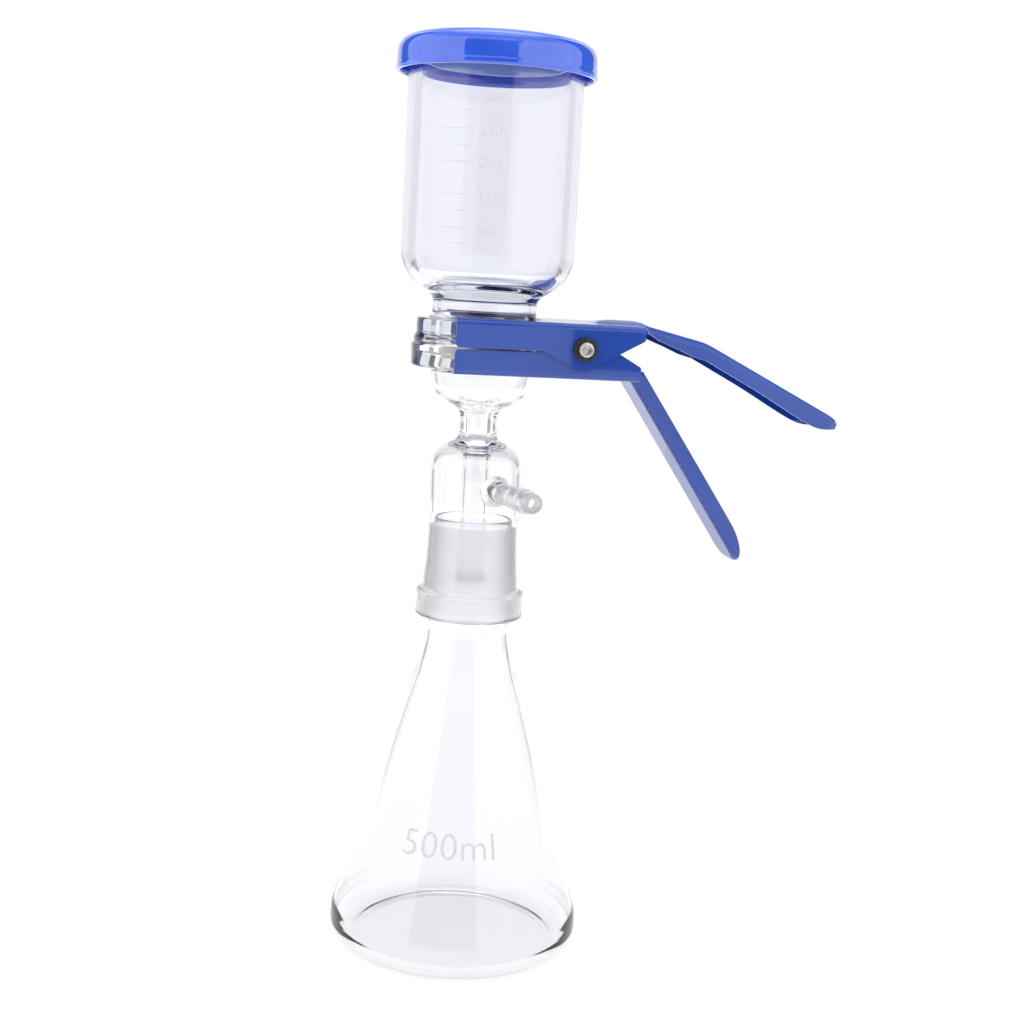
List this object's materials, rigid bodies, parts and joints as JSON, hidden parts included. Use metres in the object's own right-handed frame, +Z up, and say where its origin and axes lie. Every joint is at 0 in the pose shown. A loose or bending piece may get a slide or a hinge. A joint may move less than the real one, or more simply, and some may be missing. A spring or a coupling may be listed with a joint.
{
  "type": "vacuum filtration unit",
  "caption": "Glass vacuum filtration unit: lidded graduated funnel clamped on a sintered filter head with a hose barb, over a conical receiving flask.",
  "frame": {"origin": "centre of the flask's resting ring, on the plane it stands on", "axes": "+Z up along the common glass axis, +X along the clamp's handles"},
  "size_m": [0.2281, 0.1152, 0.4095],
  "materials": {
    "clear_glass": "clear borosilicate glass, polished, with ground joint surfaces and faint white printed graduations",
    "sintered_glass": "white sintered glass, fine porous matt",
    "lid_plastic": "moulded glossy blue plastic",
    "clamp_blue": "pressed sheet metal with a smooth satin deep blue coating",
    "rivet_metal": "plated tubular rivet, satin silver",
    "washer_black": "black plastic, satin",
    "spring_steel": "drawn spring wire"
  },
  "bodies": {
    "unit": {"flask": "clear_glass", "filter_head": "clear_glass", "sintered_disc": "sintered_glass", "funnel": "clear_glass", "clamp_lower_jaw": "clamp_blue", "pivot_pin": "rivet_metal", "washer_near": "washer_black", "washer_far": "washer_black", "torsion_spring": "spring_steel"},
    "lid": {"lid": "lid_plastic"},
    "clamp_upper": {"clamp_upper_jaw": "clamp_blue"}
  },
  "joints": [
    {"name": "lid_lift", "type": "slide", "parent": "unit", "child": "lid", "axis": [0, 0, 1], "range_m": [0, 0.045]},
    {"name": "jaw_hinge", "type": "hinge", "parent": "unit", "child": "clamp_upper", "pos_m": [0.0385, 0, 0.2794], "axis": [0, 1, 0], "range_deg": [0, 9], "stiffness_Nm_per_rad": 1.2, "springref_deg": -20.05, "deforming": ["torsion_spring"]}
  ]
}
